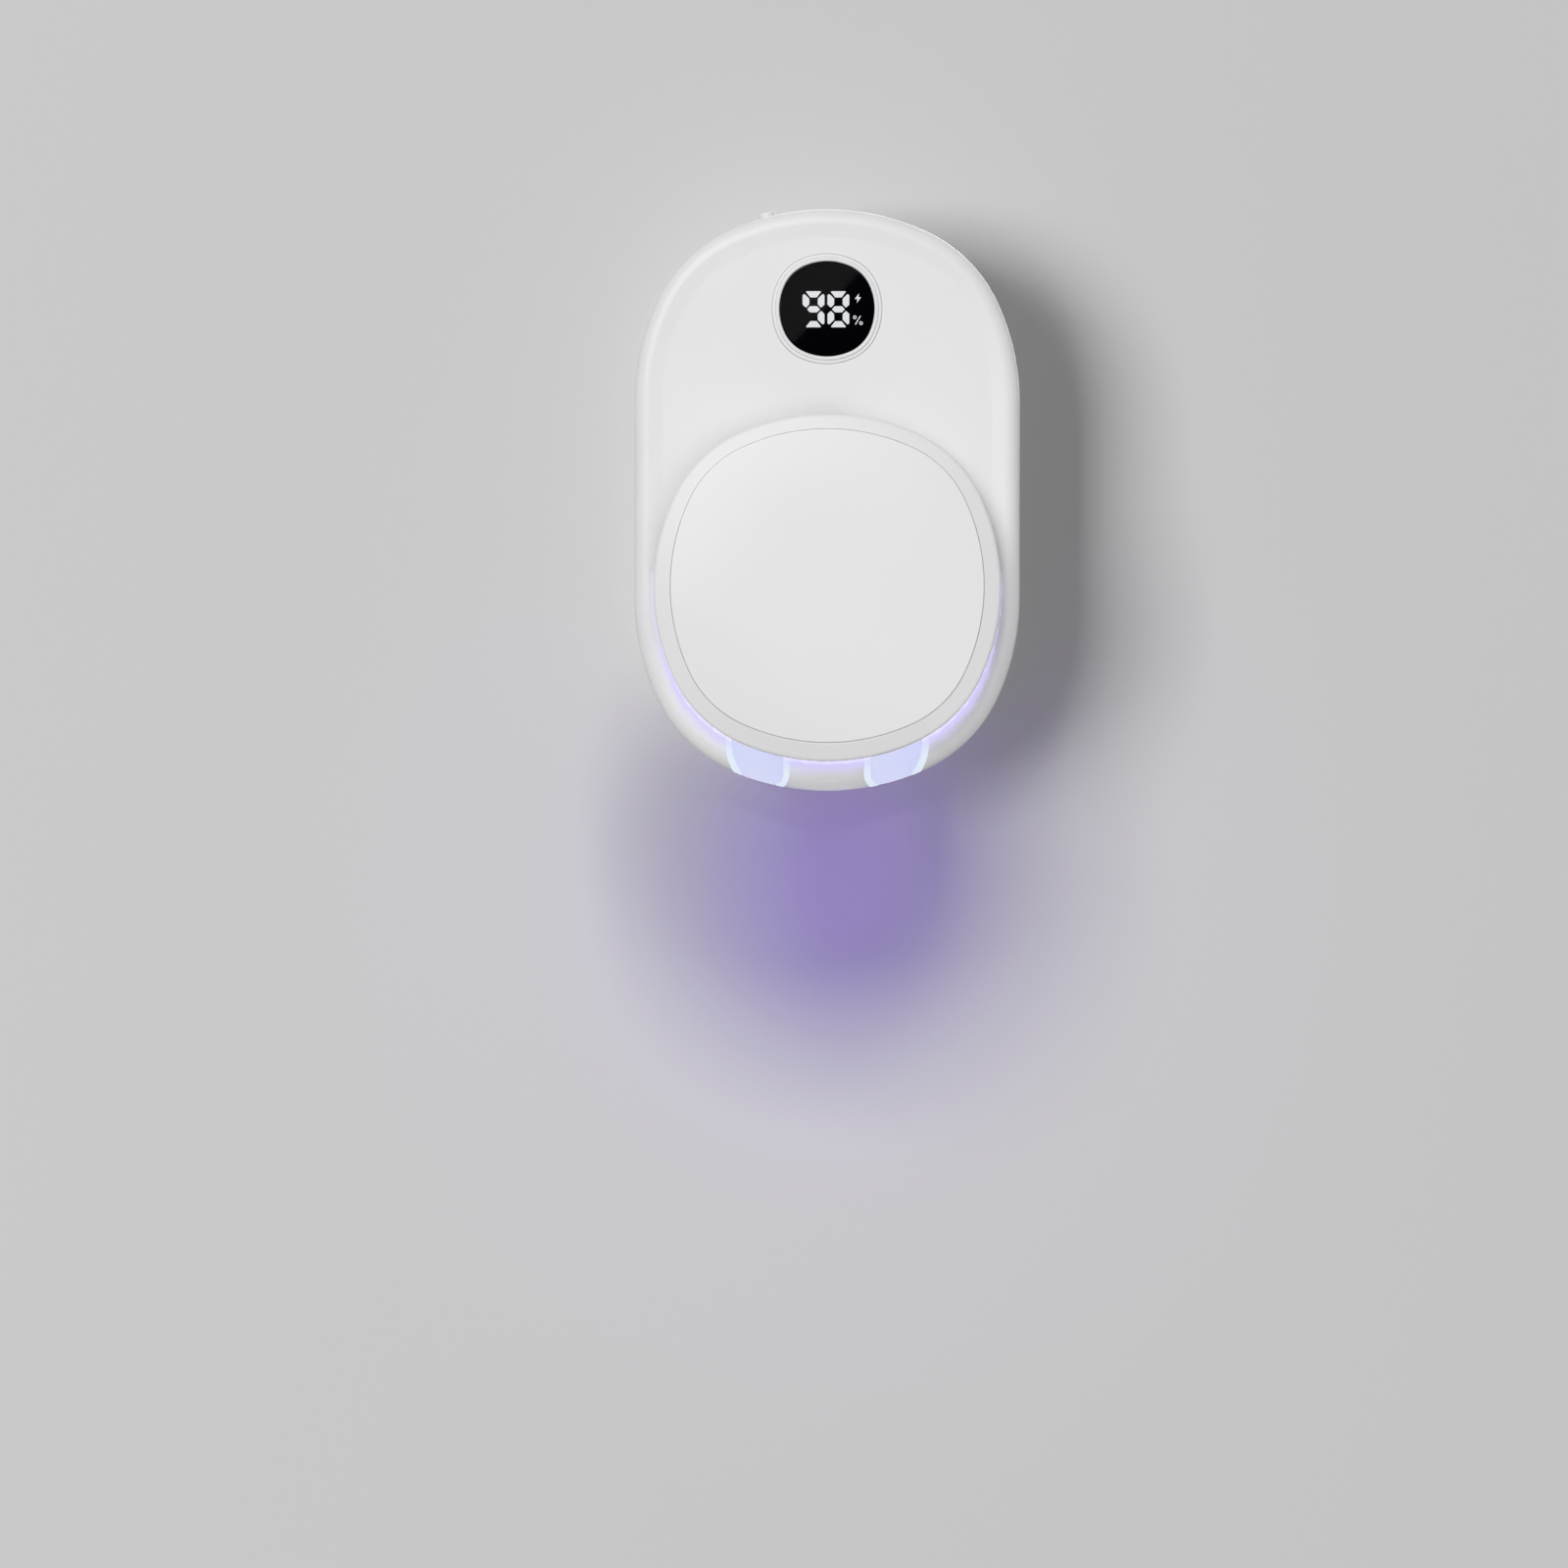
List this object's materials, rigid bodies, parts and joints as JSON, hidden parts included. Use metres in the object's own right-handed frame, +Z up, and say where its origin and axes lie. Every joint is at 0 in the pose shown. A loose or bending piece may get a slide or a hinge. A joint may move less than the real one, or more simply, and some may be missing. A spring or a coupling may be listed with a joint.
{
  "type": "wall-hung toothbrush sanitizer",
  "caption": "Capsule-shaped wall-hung ultraviolet sanitizer for toothbrush heads, with a domed flip-up door, a battery gauge, neck slots and a slide-on bracket.",
  "frame": {"origin": "centre of the adhesive pad's back face, on the wall, at half the casing's height", "axes": "+Z up along the casing's length, +Y into the wall, +X to the right seen from the front, so the door faces -Y"},
  "size_m": [0.079, 0.04, 0.1192],
  "materials": {
    "shell_plastic": "satin white, fine moulded grain",
    "door_plastic": "satin white",
    "cap_plastic": "glossy white",
    "chamber_plastic": "smooth white, reflects the lamps",
    "bracket_plastic": "matt white",
    "foam_tape": "soft closed-cell foam",
    "seal_rubber": "matt grey",
    "screw_steel": "zinc plated",
    "window_clear": "clear",
    "lamp_board": "white solder mask",
    "lamp": "ceramic package under a quartz dome",
    "spacer_brass": "turned",
    "lens_smoked": "smoked, polished",
    "module_black": "matt black",
    "pin_plate": "plated",
    "digit_lit": "lit white",
    "board_green": "solder mask",
    "chip_black": "moulded epoxy",
    "plug_white": "moulded nylon",
    "socket_steel": "drawn, plated",
    "cell_foil": "laminated foil",
    "wire_red": "wire insulation",
    "wire_white": "wire insulation",
    "wire_black": "wire insulation",
    "magnet_nickel": "nickel plated",
    "bumper_rubber": "soft translucent",
    "pin_steel": "polished"
  },
  "bodies": {
    "wall_mount": {"adhesive_pad": "foam_tape", "wall_bracket": "bracket_plastic"},
    "casing": {"rear_cover": "shell_plastic", "front_shell": "shell_plastic", "casing_seal": "seal_rubber", "casing_screws": "screw_steel", "chamber_tub": "chamber_plastic", "tub_screws": "screw_steel", "uv_window": "window_clear", "uv_led_board": "lamp_board", "uv_leds": "lamp", "led_posts": "spacer_brass", "led_screws": "screw_steel", "display_bezel": "shell_plastic", "display_lens": "lens_smoked", "lens_tape": "module_black", "display_module": "module_black", "display_pins": "pin_plate", "display_segments": "digit_lit", "main_board": "board_green", "board_chips": "chip_black", "board_screws": "screw_steel", "battery_plug": "plug_white", "led_plug": "plug_white", "usb_socket": "socket_steel", "usb_tongue": "module_black", "battery_cell": "cell_foil", "battery_tape": "foam_tape", "battery_leads": "wire_red", "led_leads": "wire_white", "sensor_leads": "wire_black", "door_sensor": "board_green", "latch_magnet": "magnet_nickel", "button_switch": "chip_black"},
    "button": {"power_button": "shell_plastic", "switch_plunger": "module_black"},
    "door": {"door_shell": "door_plastic", "door_cap": "cap_plastic", "door_liner": "chamber_plastic", "door_liner_screws": "screw_steel", "door_bumpers": "bumper_rubber", "door_magnet": "magnet_nickel", "hinge_pin": "pin_steel"}
  },
  "joints": [
    {"name": "lift_off", "type": "slide", "parent": "wall_mount", "child": "casing", "axis": [0, 0, 1], "range_m": [0, 0.03]},
    {"name": "door_hinge", "type": "hinge", "parent": "casing", "child": "door", "pos_m": [0, -0.0342, 0.0136], "axis": [-1, 0, 0], "range_deg": [0, 90]},
    {"name": "button_press", "type": "slide", "parent": "casing", "child": "button", "axis": [0.2497, 0, -0.9683], "range_m": [0, 0.0005], "stiffness_N_per_m": 800}
  ]
}
